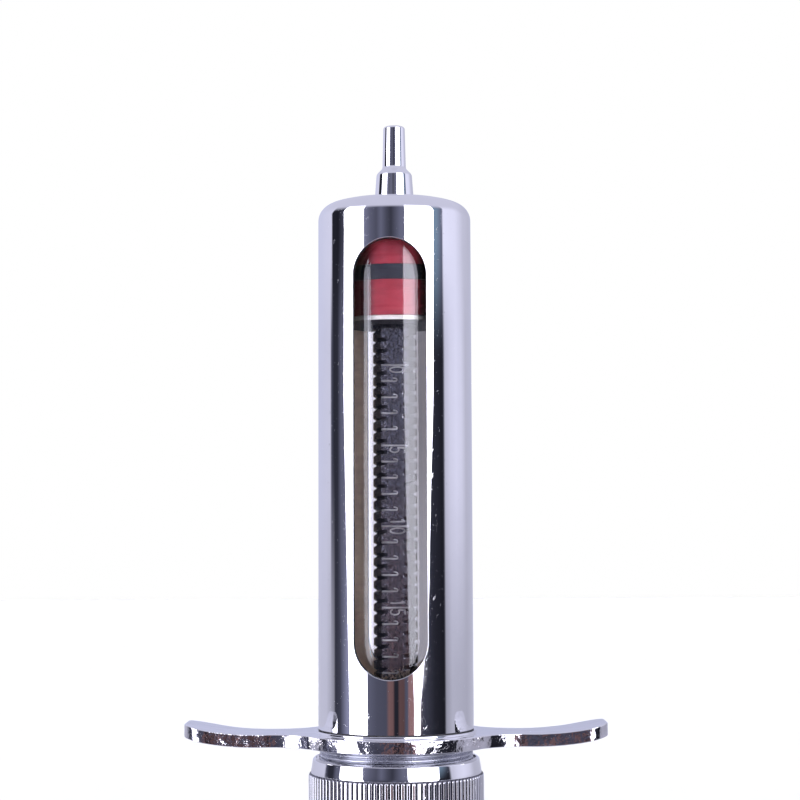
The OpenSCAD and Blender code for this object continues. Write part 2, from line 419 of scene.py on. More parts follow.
def barrel_shell():
    """The barrel: rounded shoulder, lip on the end wall, two windows, the flange's seat, the cap's thread."""
    angles, across = shell_columns()
    half = PATCH_HALF / BARREL_R
    heights = sorted({round(z, 5) for a, z in window_loop(BARREL_R, 0)[1] if abs(abs(a) - half) < 1e-6})
    top, crown = SHELL_HIGH.z, SHELL_HIGH.z + 0.2
    hole = 3.0
    lead = 0.05
    crease = top - SHOULDER_R
    shoulder_steps = 12
    outside = [(BARREL_R, BARREL_FOOT)] + [(BARREL_R, z) for z in heights] + [(BARREL_R, crease)]
    for k in range(1, shoulder_steps + 1):
        turn = math.pi / 2 * k / shoulder_steps
        outside.append((BARREL_R - SHOULDER_R * (1 - math.cos(turn)), crease + SHOULDER_R * math.sin(turn)))
    outside += [(10.9, top + 0.03), (10.8, top + 0.15), (10.6, top + 0.17), (5.0, crown)]
    root = THREAD_R - THREAD_DEPTH
    inside = [(hole, crown), (hole, BARREL_ROOF), (SHELL_BORE, BARREL_ROOF)]
    inside += [(SHELL_BORE, z) for z in reversed(heights)]
    inside += [(SHELL_BORE, SHELL_LOW.z), (root, SHELL_LOW.z), (root, SHELL_LOW.z + lead)]
    seat = [(SEAT_R, FLANGE_LOW.z), (SEAT_R, FLANGE_TOP), (SEAT_R, BARREL_FOOT), (BARREL_R, BARREL_FOOT)]
    crest, step = 0.3, 0.05
    low, high = SHELL_LOW.z + lead, FLANGE_LOW.z

    def surface(angle, z):
        return thread_radius(angle, z, low, THREAD_R, THREAD_DEPTH, CAP_PITCH, crest)

    groove = (1 + crest) / 2
    phases = [0, step, crest - step, crest, groove - step, groove + step]
    shape = join([
        shell_band(outside + inside, angles, across, heights),
        shell_band(seat, angles, across, heights),
        helix(angles, low, high, CAP_PITCH, phases, surface, lambda a: root, lambda a: SEAT_R),
        window_patch(FRONT),
        window_patch(FRONT + math.pi),
    ])
    edge = 0.5
    exact = [(BARREL_R, BARREL_FOOT, crease), (SHELL_BORE, SHELL_LOW.z + edge, BARREL_ROOF - edge)]
    return build("barrel_casing", shape, "barrel", "barrel_shell", exact)


def sort_barrel_faces(piece):
    """Gives the bore and the thread their own materials, and the window walls and the joint at the flange a
    near-black one: painted shade on the window walls, a dark joint at the flange.
    """
    bore, dark_joint_and_shade, thread = 1, 2, 3
    near = 0.1
    for face, spot in spots(piece):
        in_bore = spot.reach < SHELL_BORE + near / 2 and FLANGE_TOP < spot.z < BARREL_ROOF + near
        # The window walls are painted near-black as shade; the joint at the flange is a dark joint.
        in_window_wall = spot.reach < BARREL_R - 0.15 and FLANGE_TOP + 1 < spot.z < WINDOW_HIGH + 1
        in_seam = spot.reach < BARREL_R - near / 10 and FLANGE_TOP < spot.z < BARREL_FOOT + near / 10
        if in_bore:
            face.material_index = bore
        elif in_window_wall or in_seam:
            face.material_index = dark_joint_and_shade
        elif spot.z < FLANGE_LOW.z:
            face.material_index = thread


# --- nozzle, glass, flange

def nozzle():
    """Slip cone on a slightly tapered stem, with a waist between them and a passage through both."""
    z0, z1, top = NOZZLE_LOW.z, NOZZLE_HIGH.z, SHELL_HIGH.z
    passage, neck, stem, cone, tip = 1.0, 3.0, NOZZLE_HIGH.x, 2.16, 1.97
    step = top + 5.8
    path = rounded([
        (passage, z0, 0), (neck, z0, 0), (neck, top, 0), (stem, top, 0), (stem - 0.1, top + 0.4, 0),
        (stem - 0.5, step, 0.9), (cone, step + 1.1, 0.9), (tip, z1, 0.45), (passage, z1, 0.2)], 6)
    return build("slip_nozzle", lathe(path, 96), "barrel", "nozzle")


def glass():
    """The measuring tube, with rounded ends."""
    outer, z0, z1 = GLASS_HIGH.x, GLASS_LOW.z, GLASS_HIGH.z
    edge, end = 0.25, 0.2
    path = rounded([(GLASS_BORE, z0, edge), (outer, z0, edge), (outer, z1, edge), (GLASS_BORE, z1, edge)])
    exact = [(radius, z0 + end, z1 - end) for radius in (GLASS_BORE, outer)]
    return build("measuring_glass", lathe(path, 256), "barrel", "glass_tube", exact)


def flange_outline():
    """Outline of the flange: a quarter with ring, hollow blend, widening wing and round corner, mirrored."""
    ring, blend, corner, waist, tip = FLANGE_HIGH.y, 10, 4, 5, 6.7
    half = FLANGE_HIGH.x
    side = waist + blend
    blend_x = math.sqrt((ring + blend) ** 2 - side ** 2)
    lean = math.atan2(side, blend_x)
    quarter = []

    def arc(cx, cy, radius, a, b, steps):
        for k in range(steps):
            t = a + (b - a) * k / steps
            quarter.append(Vector((cx + radius * math.cos(t), cy + radius * math.sin(t))))

    arc(0, 0, ring, math.pi / 2, lean, 20)
    arc(blend_x, side, blend, math.pi + lean, 1.5 * math.pi, 16)
    edge_start, corner_turn, edge_steps = Vector((blend_x, waist)), math.radians(100), 10
    centre = Vector((half - corner, tip - corner))
    edge_end = centre + corner * Vector((math.cos(corner_turn), math.sin(corner_turn)))
    for k in range(edge_steps):
        quarter.append(edge_start.lerp(edge_end, k / edge_steps))
    arc(*centre, corner, corner_turn, 0, 14)
    right = quarter + [Vector((half, 0))] + [Vector((p.x, -p.y)) for p in reversed(quarter)]
    left = [Vector((-p.x, p.y)) for p in reversed(right[1:-1])]
    return right + left


def finger_flange():
    """The cast finger rest: raised collar, flat ring, wings that curl up, rounded edges."""
    outline = flange_outline()
    n = len(outline)
    top_edge, bottom_edge = 0.2, 0.1
    bend_x, rise = 24.0, FLANGE_HIGH.z - FLANGE_LOW.z - FLANGE_T
    wing_top = FLANGE_LOW.z + FLANGE_T

    def lift(x):
        share = max(0, abs(x) - bend_x) / (FLANGE_HIGH.x - bend_x)
        return rise * share ** 2

    normals = []
    for i in range(n):
        along = outline[(i + 1) % n] - outline[i - 1]
        normals.append(Vector((-along.y, along.x)).normalized())
    if normals[0].dot(outline[0]) < 0:
        normals = [-v for v in normals]

    def pulled_in(depth):
        return [p - v * depth for p, v in zip(outline, normals)]

    inset = pulled_in(top_edge)
    rays = [p.normalized() for p in inset]
    base, steps, round_steps = 15.6, 22, 6
    verts = []

    def ring(points, z):
        verts.extend((p.x, p.y, z + lift(p.x)) for p in points)

    def face_rings(order, z):
        for k in order:
            ring([(v * base).lerp(p, k / steps) for v, p in zip(rays, inset)], z)

    collar = [(SEAT_R, BOSS_H), (14.42, BOSS_H), (14.5, 0.37), (14.53, 0.3), (14.53, 0.1), (14.63, 0)]
    for r, up in collar + [(base, 0)]:
        ring([v * r for v in rays], wing_top + up)
    face_rings(range(1, steps + 1), wing_top)
    turns = [math.pi / 2 * k / round_steps for k in range(round_steps + 1)]
    for turn in turns[1:]:
        ring(pulled_in(top_edge * (1 - math.sin(turn))), wing_top - top_edge * (1 - math.cos(turn)))
    for turn in turns:
        ring(pulled_in(bottom_edge * (1 - math.cos(turn))), FLANGE_LOW.z + bottom_edge * (1 - math.sin(turn)))
    face_rings(range(steps - 1, -1, -1), FLANGE_LOW.z)
    ring([v * SEAT_R for v in rays], FLANGE_LOW.z)
    shape = (verts, grid_faces(len(verts) // n, n, closed_rows=True))
    return build("finger_rest", shape, "barrel", "finger_flange")


# --- cap, nut, washer, button

def end_cap():
    """Screw cap: chamfered foot, knurled band, turned collar and a counterbored mouth over the thread."""
    z0, z1, outer = CAP_LOW.z, CAP_HIGH.z, CAP_HIGH.x
    collar, cone, lip = outer - KNURL_DEPTH - 0.02, 14.98, 14.6
    bush, bore, mouth = 6.2, THREAD_R + 0.06, THREAD_R + 0.51
    wall, band, step, sink = z0 + 6, z0 + 4, z1 - 2.75, z1 - 1.2
    chamfer, edge, ledge = 1.2, 0.5, 0.05
    foot = [(bush, z0, 0), (collar - chamfer, z0, edge), (collar, z0 + chamfer, edge), (collar, band - ledge, 0)]
    shoulder = [(collar, step + ledge, 0), (collar - 0.02, step + 0.4, 0), (cone, z1 - 0.35, 0.35)]
    mouth_rim = [(lip, z1, 0.3), (mouth, z1, 0.12), (mouth, sink, 0)]
    inside = [(bore, sink, 0), (bore, wall, 0), (bush, wall, 0)]
    path = rounded(foot + knurled_wall(outer, band, step) + shoulder + mouth_rim + inside)
    ridges = 103
    shape = lathe(path, ridges * RIDGE_COLUMNS, knurl(ridges, band, step, outer))
    return build("screw_cap", shape, "end_cap", "end_cap")


def dose_nut():
    """Knurled stop nut with chamfered faces."""
    z0, z1, outer = NUT_LOW.z, NUT_HIGH.z, NUT_HIGH.x
    hole, edge, ledge = ROD_R + RUN_GAP, 0.9, 0.02
    face, rim = outer - 1.3, outer - 0.45
    low, high = z0 + edge, z1 - edge
    path = rounded(
        [(hole, z0, 0.15), (face, z0, 0.3), (rim, low, 0), (outer, low + ledge, 0)]
        + upright(outer, low, high, 14)
        + [(outer, high - ledge, 0), (rim, high, 0), (face, z1, 0.3), (hole, z1, 0.15)])
    ridges = 60
    shape = lathe(path, ridges * RIDGE_COLUMNS, knurl(ridges, low, high, outer))
    return build("dose_stop_nut", shape, "dose_nut", "dose_nut")


def dose_washer():
    """Washer whose hole has two flats, keyed to the rod's."""
    z0, z1 = KEY_LOW.z, KEY_HIGH.z
    hole, flat = ROD_R + RUN_GAP, ROD_FLAT + RUN_GAP
    outer = KEY_HIGH.x

    def keyed(angle, r, z):
        return cut_by_flats(angle, r, flat) if r < outer / 2 else r

    path = rounded([(hole, z0, 0), (outer, z0, 0.3), (outer, z1, 0.3), (hole, z1, 0)])
    return build("key_washer", lathe(path, 240, keyed), "dose_washer", "dose_washer")


def thumb_button():
    """Knurled disc with a dished face, on a hub bored for the rod."""
    z0, z1, outer = BUTTON_LOW.z, BUTTON_HIGH.z, BUTTON_HIGH.x
    disc, hub, bore_end = z0 + 4.2, 6.6, z0 + 3.2
    low, high = z0 + 1.3, disc - 1.0
    dish_r, dish_depth, dish_steps = 7.5, 0.5, 12
    dish = []
    for k in range(dish_steps + 1):
        share = k / dish_steps
        dish.append((dish_r * share, z0 + dish_depth * (1 - share ** 2), 0))
    path = rounded(
        dish + [(outer - 1.5, z0, 0.9), (outer - 0.35, low - 0.05, 0.3), (outer, low, 0)]
        + upright(outer, low, high, 12)
        + [(outer, high, 0), (outer - 0.4, high + 0.1, 0.2), (outer - 1.2, disc, 0.4), (hub + 0.5, disc, 0.3),
           (hub, disc + 0.5, 0.3), (hub, z1, 0.7), (ROD_R, z1, 0.2), (ROD_R, bore_end, 0), (0, bore_end, 0)])
    ridges = 80
    shape = lathe(path, ridges * RIDGE_COLUMNS, knurl(ridges, low, high, outer))
    return build("thumb_press", shape, "rod", "thumb_button")


def knurl_gaps(outer):
    """A test for sort_faces: the floors and flanks between the ridges of a knurl, which get painted shade."""
    def belongs(spot):
        return outer - KNURL_DEPTH + 0.01 < spot.reach < outer - KNURL_DEPTH / 4

    return belongs


# --- piston

def front_plate():
    """Plate in front of the seals, rounded towards the nozzle."""
    hole, outer, z0, z1 = STUD_R + RUN_GAP, PLATE_HIGH.x, PLATE_LOW.z, PLATE_HIGH.z
    path = rounded([(hole, z0, 0), (outer, z0, 0.15), (outer, z1, 0.5), (hole, z1, 0)])
    return build("front_disc", lathe(path), "front_plate", "piston_front_plate")


def seal(name, node, ribbed):
    """A seal ring, plain or with a lip at either end, with a mesh of its own."""
    low, high = box_mm(node)
    lip, z0, z1 = high.x, low.z, high.z
    height = z1 - z0
    sides = [(lip, z0, 0.15)]
    if ribbed:
        waist, edge = lip - 0.15, 0.1
        for r, share in ((lip, 0.2), (waist, 0.28), (waist, 0.68), (lip, 0.76)):
            sides.append((r, z0 + height * share, edge))
    path = rounded([(RING_HOLE_R, z0, 0)] + sides + [(lip, z1, 0.15), (RING_HOLE_R, z1, 0)])
    piece = build(name, lathe(path), "piston", node)
    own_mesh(piece)
    return piece


def rear_washer():
    """Washer behind the seals."""
    outer, z0, z1, edge = WASHER_HIGH.x, WASHER_LOW.z, WASHER_HIGH.z, 0.18
    path = rounded([(RING_HOLE_R, z0, 0), (outer, z0, edge), (outer, z1, edge), (RING_HOLE_R, z1, 0)])
    return build("rear_disc", lathe(path), "piston", "piston_rear_washer")


# --- rod and its scale

def rod_thread(angle, z):
    """Radius of the rod's thread at a point."""
    return thread_radius(angle, z, FLATS_LOW, ROD_R, ROD_DEPTH, ROD_PITCH, ROD_CREST)


def cut_by_flats(angle, r, flat):
    """A radius, or the distance to one of two flats if that is nearer."""
    smallest = 1e-6
    return min(r, flat / max(smallest, abs(math.sin(angle))))


def rod_columns():
    """Angles round the rod, close together where the flats meet the thread."""
    quarter = []
    for first, last, steps in ((0, 48, 8), (48, 72, 24), (72, 90, 4)):
        quarter += [math.radians(first + (last - first) * k / steps) for k in range(steps)]
    half = quarter + [math.pi / 2] + [math.pi - a for a in reversed(quarter[1:])]
    return half + [a + math.pi for a in half]


def rod():
    """The plunger rod: round foot, two flats, thread on what they leave, and a chamfered stud."""
    angles = rod_columns()
    foot, tip = ROD_LOW.z, ROD_HIGH.z

    def band(path):
        verts = [(r(a) * math.cos(a), r(a) * math.sin(a), z) for r, z in path for a in angles]
        return verts, grid_faces(len(path), len(angles))

    def full(r):
        return lambda a: r

    def cut(a):
        return cut_by_flats(a, ROD_R, ROD_FLAT)

    def surface(a, z):
        return cut_by_flats(a, rod_thread(a, z), ROD_FLAT)

    chamfer = 0.3
    lower = [(full(0), foot), (full(ROD_R), foot), (full(ROD_R), FLATS_LOW), (cut, FLATS_LOW)]
    upper = [(cut, ROD_THREAD_TOP), (cut, ROD_SHOULDER), (full(STUD_R), ROD_SHOULDER),
             (full(STUD_R), tip - chamfer), (full(STUD_R - chamfer), tip), (full(0), tip)]
    edge, root, crest, groove = 0.03, 0.02, ROD_CREST, (1 + ROD_CREST) / 2
    phases = [0, edge, 0.3, crest - edge, crest, crest + edge, groove - root, groove + root, 1 - edge]
    thread = helix(angles, FLATS_LOW, ROD_THREAD_TOP, ROD_PITCH, phases, surface, cut, cut)
    return build("plunger_rod", join([band(lower), band(upper), thread]), "rod", "piston_rod")


def on_rod_thread(spot):
    """A test for sort_faces: the thread's crests and grooves, beside the two flats, which get painted shade."""
    return FLATS_LOW < spot.z < ROD_SHOULDER and abs(spot.y) < ROD_FLAT - 0.01


def rod_face(x, z):
    """How far the rod's front stands from the axis at a point of its flat or of the grooves that bite it."""
    y, smallest, rounds = ROD_FLAT, 0.5, 4
    for _ in range(rounds):
        r = rod_thread(math.atan2(-y, x) % TAU, z)
        y = min(ROD_FLAT, math.sqrt(max(smallest, r * r - x * x)))
    return y


def stroke(line, width=0.34, height=0.06):
    """A stamped stroke along (x, z) points on the front flat: a shallow valley between two raised burrs.

    The section is in shares of half the width and of the height. None is the foot, sunk in the rod.
    """
    sink = 0.15
    section = [(-1, -0.4), (-0.6, 1), (0, 0.1), (0.6, 1), (1, -0.4), (1, None), (-1, None)]
    verts = []
    for i, point in enumerate(line):
        here = Vector(point)
        ahead = Vector(line[min(i + 1, len(line) - 1)]) - Vector(line[max(i - 1, 0)])
        across = Vector((-ahead.y, ahead.x)).normalized()
        for side, burr in section:
            x, z = here + across * (side * width / 2)
            up = -sink if burr is None else burr * height
            verts.append((x, -(rod_face(x, z) + up), z))
    n = len(section)
    faces = grid_faces(len(line), n)
    faces += [tuple(range(n)), tuple((len(line) - 1) * n + j for j in range(n))]
    return verts, faces


def straight(a, b, steps=10):
    """Points along a straight stroke."""
    return [Vector(a).lerp(Vector(b), k / steps) for k in range(steps + 1)]


def curve(cx, cy, rx, ry, a, b, steps=14):
    """Points along an elliptic arc, angles in degrees."""
    turns = [math.radians(a + (b - a) * k / steps) for k in range(steps + 1)]
    return [Vector((cx + rx * math.cos(t), cy + ry * math.sin(t))) for t in turns]


DIGIT_W = 0.95


def digit_lines(digit):
    """Strokes of a plain digit, 1 wide and 2 high, in its own upright frame."""
    shapes = {
        0: [curve(0.5, 1, 0.5, 1, 90, 450, 28)],
        1: [straight((0.5, 2), (0.5, 0)), straight((0.5, 2), (0.12, 1.5), 4)],
        2: [curve(0.5, 1.45, 0.5, 0.55, 170, -30) + straight((0.85, 1.05), (0, 0), 8),
            straight((0, 0), (1, 0))],
        3: [curve(0.45, 1.5, 0.5, 0.5, 160, -90), curve(0.45, 0.5, 0.55, 0.5, 90, -160)],
        5: [straight((0.95, 2), (0.1, 2), 6) + straight((0.1, 1.9), (0.08, 1.1), 6)
            + curve(0.45, 0.6, 0.52, 0.6, 130, -150)],
    }
    return shapes[digit]


def stamped_digit(digit, z):
    """A digit that reads down the rod: its top points to +X, and z is its upper edge."""
    foot_x, size, thin = -0.9, 1.3, 0.3
    parts = []
    for line in digit_lines(digit):
        parts.append(stroke([(foot_x + p.y * size, z - p.x * DIGIT_W) for p in line], thin))
    return parts


def rod_scale():
    """Thirty stamped marks of 1 ml with a hooked end, a long one at each 5 ml, and plain numbers there."""
    parts = []
    reach, short_end, gap = 2.44, 0.35, 0.35
    for ml in range(MARK_COUNT):
        z = ZERO_MARK - ml * MARK_STEP
        if ml % 5:
            parts.append(stroke(straight((-reach, z), (short_end, z))))
            parts.append(stroke(curve(-0.15, z + 0.2, 0.55, 0.32, 110, -50, 8), 0.24))
            continue
        parts.append(stroke(straight((-reach, z), (reach, z), 16)))
        tens, ones = divmod(ml, 10)
        if tens:
            parts += stamped_digit(tens, z + gap + DIGIT_W)
        parts += stamped_digit(ones, z - gap)
    return build("rod_scale", join(parts), "rod")


# --- materials
# Noise scales count waves per metre, and bump distances are in metres.

class Tree:
    """A short way to write node trees: each method adds a node and returns its output."""

    def __init__(self, owner):
        owner.use_nodes = True
        self.tree = owner.node_tree
        self.tree.nodes.clear()

    def add(self, kind, *inputs, **settings):
        """Adds a node with its settings, and feeds its inputs from (key, value) pairs."""
        node = self.tree.nodes.new(kind)
        for key, value in settings.items():
            setattr(node, key, value)
        for key, value in inputs:
            self.feed(node.inputs[key], value)
        return node

    def feed(self, socket, value):
        if isinstance(value, bpy.types.NodeSocket):
            self.tree.links.new(value, socket)
        else:
            socket.default_value = value

    def math(self, operation, a, b=0.0):
        return self.add("ShaderNodeMath", (0, a), (1, b), operation=operation).outputs[0]

    def mix(self, factor, a, b):
        inputs = ("Factor", factor), ("A", a), ("B", b)
        return self.add("ShaderNodeMix", *inputs, data_type="RGBA").outputs["Result"]

    def scale(self, colour, factor):
        inputs = (0, colour), ("Scale", factor)
        return self.add("ShaderNodeVectorMath", *inputs, operation="SCALE").outputs[0]

    def remap(self, value, low, high, to_low, to_high):
        keys = ("Value", "From Min", "From Max", "To Min", "To Max")
        inputs = zip(keys, (value, low, high, to_low, to_high))
        return self.add("ShaderNodeMapRange", *inputs, interpolation_type="SMOOTHSTEP").outputs["Result"]

    def noise(self, scale, detail, stretch=(1, 1, 1), tilt=0.0):
        """Noise in object space. Stretch below 1 draws it out along that axis, and tilt turns it about Y."""
        place = self.add("ShaderNodeTexCoord").outputs["Object"]
        turned_by, drawn = (0, tilt, 0), [1 / factor for factor in stretch]
        inputs = ("Rotation", turned_by), ("Scale", drawn), ("Vector", place)
        mapping = self.add("ShaderNodeMapping", *inputs, vector_type="TEXTURE")
        inputs = ("Vector", mapping.outputs["Vector"]), ("Scale", scale), ("Detail", detail)
        return self.add("ShaderNodeTexNoise", *inputs).outputs["Fac"]

    def bump(self, height, strength, distance, normal=None):
        node = self.add("ShaderNodeBump", ("Height", height), ("Strength", strength), ("Distance", distance))
        if normal is not None:
            self.feed(node.inputs["Normal"], normal)
        return node.outputs["Normal"]


def surface(name):
    """A material with one Principled shader, its tree, and a function that feeds the shader's inputs."""
    material = bpy.data.materials.new(name)
    tree = Tree(material)
    shader = tree.add("ShaderNodeBsdfPrincipled")
    tree.add("ShaderNodeOutputMaterial", ("Surface", shader.outputs["BSDF"]))

    def give(key, value):
        tree.feed(shader.inputs[key], value)

    return material, tree, give


def chrome(name, colour, dark, smooth, rough, blotch=0.0, grit=0):
    """Plated metal: cloudy polish between two roughnesses, with a few pits, hairlines and scratches.

    A casting also has a blotchy, uneven skin, with its own amount of grit.
    """
    scar_rough, skin_depth = 0.16, 0.0006
    material, tree, give = surface(name)
    cloud = tree.noise(260, 4)
    pits = tree.remap(tree.noise(2600, 2), 0.68, 0.76, 0, 1)
    hairs = tree.remap(tree.noise(900, 3, (1, 1, 0.12)), 0.66, 0.80, 0, 1)
    scratches = tree.remap(tree.noise(1500, 1, (1, 1, 0.05), tilt=0.7), 0.72, 0.76, 0, 1)
    wear = tree.math("MAXIMUM", pits, tree.math("MAXIMUM", tree.math("MULTIPLY", hairs, 0.5), scratches))
    give("Base Color", tree.mix(cloud, (*colour, 1), (*dark, 1)))
    give("Metallic", 1.0)
    polish = tree.remap(cloud, 0.3, 0.7, smooth, rough)
    give("Roughness", tree.math("ADD", polish, tree.math("MULTIPLY", wear, scar_rough)))
    normal = tree.bump(wear, 0.08, 0.00002)
    if blotch:
        normal = tree.bump(tree.noise(330, grit), blotch, skin_depth, normal)
    give("Normal", normal)
    return material


def rolled(name, colour, dark):
    """The rod's plating: mottled, with streaks along the rod that tilt the reflection."""
    material, tree, give = surface(name)
    mottle = tree.remap(tree.noise(2600, 4, (1, 1, 0.6)), 0.38, 0.62, 0, 1)
    give("Base Color", tree.mix(mottle, (*colour, 1), (*dark, 1)))
    give("Metallic", 1.0)
    give("Roughness", tree.remap(mottle, 0, 1, 0.10, 0.24))
    streaks = tree.bump(tree.noise(700, 3, (1, 1, 0.15)), 0.35, 0.0004)
    give("Normal", tree.bump(tree.noise(2400, 2), 0.25, 0.0001, streaks))
    return material


def satin(name, colour, dark, rough, grain, shaded_sides=False):
    """Silicone, rubber or dull metal: slight colour clouds, a fine grain and a soft sheen.

    On request, painted shade darkens it towards +X and -X, where the piston goes behind the barrel's walls and
    they shade it; its specular level is then lowered too.
    """
    clear_x, shade_x, cover, shade = 0.0028, 0.0052, 0.88, 0.05
    material, tree, give = surface(name)
    cloud = tree.remap(tree.noise(330, 4, (1, 1, 2.5)), 0.3, 0.7, 0, 1)
    skin = tree.mix(cloud, (*colour, 1), (*dark, 1))
    # Painted shade: darker towards +X and -X, where the window walls shade the piston.
    if shaded_sides:
        place = tree.add("ShaderNodeTexCoord").outputs["Object"]
        x = tree.add("ShaderNodeSeparateXYZ", ("Vector", place)).outputs["X"]
        side = tree.remap(tree.math("ABSOLUTE", x), clear_x, shade_x, 0, cover)
        skin = tree.mix(side, skin, (*(channel * shade for channel in dark), 1))
        give("Specular IOR Level", 0.2)
    give("Base Color", skin)
    give("Roughness", tree.remap(tree.noise(1400, 2), 0.3, 0.7, rough, rough + 0.15))
    give("Normal", tree.bump(tree.noise(grain, 3), 0.15, 0.00005))
    return material


def clear_glass():
    """Clear glass with faint smears."""
    material, tree, give = surface("clear_glass")
    smear = tree.remap(tree.noise(160, 4, (1, 1, 0.3)), 0.55, 0.8, 0.0, 0.05)
    give("Base Color", (0.985, 0.985, 0.99, 1))
    give("Transmission Weight", 1.0)
    give("IOR", 1.5)
    give("Roughness", smear)
    return material


def turned(name, colour, dark, rough):
    """Turned metal: fine rings round the axis in colour, roughness and bump."""
    material, tree, give = surface(name)
    rings = tree.noise(1500, 2, (0.2, 0.2, 3))
    give("Base Color", tree.mix(rings, (*colour, 1), (*dark, 1)))
    give("Metallic", 1.0)
    give("Roughness", tree.remap(rings, 0.3, 0.7, rough, rough + 0.15))
    give("Normal", tree.bump(rings, 0.2, 0.00003))
    return material


# --- studio

SOFTBOX = (5.0, 5.0, 5.7)
EDGE_SOFT = 0.8 / 360


def slate(level):
    """Blue-grey of the dim room."""
    return (level * 0.92, level * 0.95, level * 1.45)


def pale(level):
    """Bluish white of the walls, the ceiling and the table."""
    return (level * 0.97, level * 0.97, level * 1.22)


def lilac(level):
    """The backdrop, which the flange's upper side mirrors."""
    return (level * 0.97, level, level * 1.34)


def brown(level):
    """Wooden things and skin on the camera's side."""
    return (level * 1.5, level * 0.85, level * 0.9)


# What polished metal sees round the horizon beside the softboxes, looking a little up, level and a little
# down: (degrees from the camera's side, colour), -90 to the left.
UPPER = [
    (-180, lilac(0.54)), (-170, lilac(0.62)),
    (-109, pale(0.75)), (-107, slate(0.02)), (-93, slate(0.015)), (-88, slate(0.04)),
    (-60, slate(0.15)), (-46, slate(0.22)), (-36, slate(0.13)), (-27, slate(0.09)), (-20, slate(0.15)),
    (-12, slate(0.08)), (-5, slate(0.045)), (2, slate(0.1)), (10, slate(0.17)), (40, slate(0.15)),
    (58, (0.2, 0.3, 0.42)), (66, (0.2, 0.28, 0.4)), (76, slate(0.15)), (78, pale(0.9)), (104, pale(0.85)),
    (125, pale(0.62)), (150, pale(0.55)), (180, lilac(0.54))]
MIDDLE = [
    (-180, lilac(0.54)), (-170, lilac(0.62)),
    (-113, pale(0.68)), (-110, slate(0.09)), (-104, slate(0.03)), (-95, slate(0.03)),
    (-88, slate(0.14)), (-60, slate(0.15)), (-44, slate(0.14)), (-30, slate(0.07)), (-8, slate(0.05)),
    (-2, slate(0.12)), (3, slate(0.08)), (9, slate(0.12)), (40, slate(0.05)), (63, slate(0.025)),
    (74, slate(0.015)), (77, slate(0.03)), (80, pale(0.6)), (91, pale(0.75)), (104, pale(0.82)),
    (118, pale(0.75)), (132, pale(0.55)), (180, lilac(0.54))]
LOWER = [
    (-180, pale(0.6)), (-125, pale(0.58)), (-112, pale(0.45)), (-104, pale(0.3)), (-101, slate(0.04)),
    (-90, slate(0.06)), (-84, slate(0.15)), (-76, slate(0.3)), (-60, slate(0.2)), (-41, slate(0.13)),
    (-28, slate(0.09)), (-14, slate(0.08)), (-10, brown(0.13)), (-4, brown(0.11)), (-2, slate(0.02)),
    (3, slate(0.02)), (5, brown(0.08)), (12, brown(0.07)), (14, slate(0.09)), (17, slate(0.1)),
    (19, brown(0.2)), (26, brown(0.2)), (40, slate(0.06)), (60, slate(0.02)), (77, slate(0.012)),
    (80, pale(0.35)), (92, pale(0.5)), (130, pale(0.45)), (180, pale(0.6))]

# Left and right edge of each softbox: (sine of the elevation a reflection looks to, degrees).
LEFT_BOX = (
    [(-0.09, -72), (0.08, -82), (0.17, -81)],
    [(-0.09, -42.6), (0.08, -44.5), (0.17, -47)])
RIGHT_BOX = (
    [(-0.09, 27.3), (-0.03, 22.6), (0.023, 19.9), (0.08, 17), (0.17, 15.7)],
    [(-0.09, 35.6), (-0.03, 49.8), (0.023, 53.5), (0.08, 58.8), (0.17, 60.5)])


def ramp(tree, factor, stops):
    """A colour ramp through (position, colour) stops."""
    node = tree.add("ShaderNodeValToRGB", ("Fac", factor))
    elements = node.color_ramp.elements
    for element, (position, colour) in zip(list(elements), (stops[0], stops[-1])):
        element.position = position
        element.color = (*colour, 1)
    for position, colour in stops[1:-1]:
        elements.new(position).color = (*colour, 1)
    return node.outputs["Color"]


def circle_share(degrees):
    """Degrees as a share of the circle, from behind the object round to the left."""
    return (degrees + 180) / 360


def horizon(tree, azimuth, stops):
    """Colours round the horizon."""
    return ramp(tree, azimuth, [(circle_share(degrees), colour) for degrees, colour in stops])


def box_edge(tree, z, edge):
    """Where a softbox's edge stands at each height. The heights are moved up to fit a ramp."""
    shift = 0.5
    stops = [(height + shift, (circle_share(degrees),) * 3) for height, degrees in edge]
    return ramp(tree, tree.math("ADD", z, shift), stops)


def softbox(tree, azimuth, z, edges):
    """1 inside a softbox and 0 outside it."""
    sides = []
    for edge, before, after in ((edges[0], 0, 1), (edges[1], 1, 0)):
        place = box_edge(tree, z, edge)
        low, high = tree.math("SUBTRACT", place, EDGE_SOFT), tree.math("ADD", place, EDGE_SOFT)
        sides.append(tree.remap(azimuth, low, high, before, after))
    return tree.math("MULTIPLY", *sides)


def mirrored_studio(tree, azimuth, z):
    """What polished metal reflects: two softboxes in a dim room with a pale ceiling and table.

    Each pair is the sine of the elevation where one part starts to give way to the next, and where it has.
    """
    table, level, upper, ceiling = (-0.55, -0.22), (-0.09, 0.06), (0.10, 0.17), (0.30, 0.62)
    low = tree.mix(tree.remap(z, *level, 0, 1), horizon(tree, azimuth, LOWER), horizon(tree, azimuth, MIDDLE))
    room = tree.mix(tree.remap(z, *upper, 0, 1), low, horizon(tree, azimuth, UPPER))
    for edges in (LEFT_BOX, RIGHT_BOX):
        room = tree.mix(softbox(tree, azimuth, z, edges), room, (*SOFTBOX, 1))
    capped = tree.mix(tree.remap(z, *ceiling, 0, 1), room, (*pale(0.66), 1))
    return tree.mix(tree.remap(z, *table, 1, 0), capped, (*pale(0.5), 1))


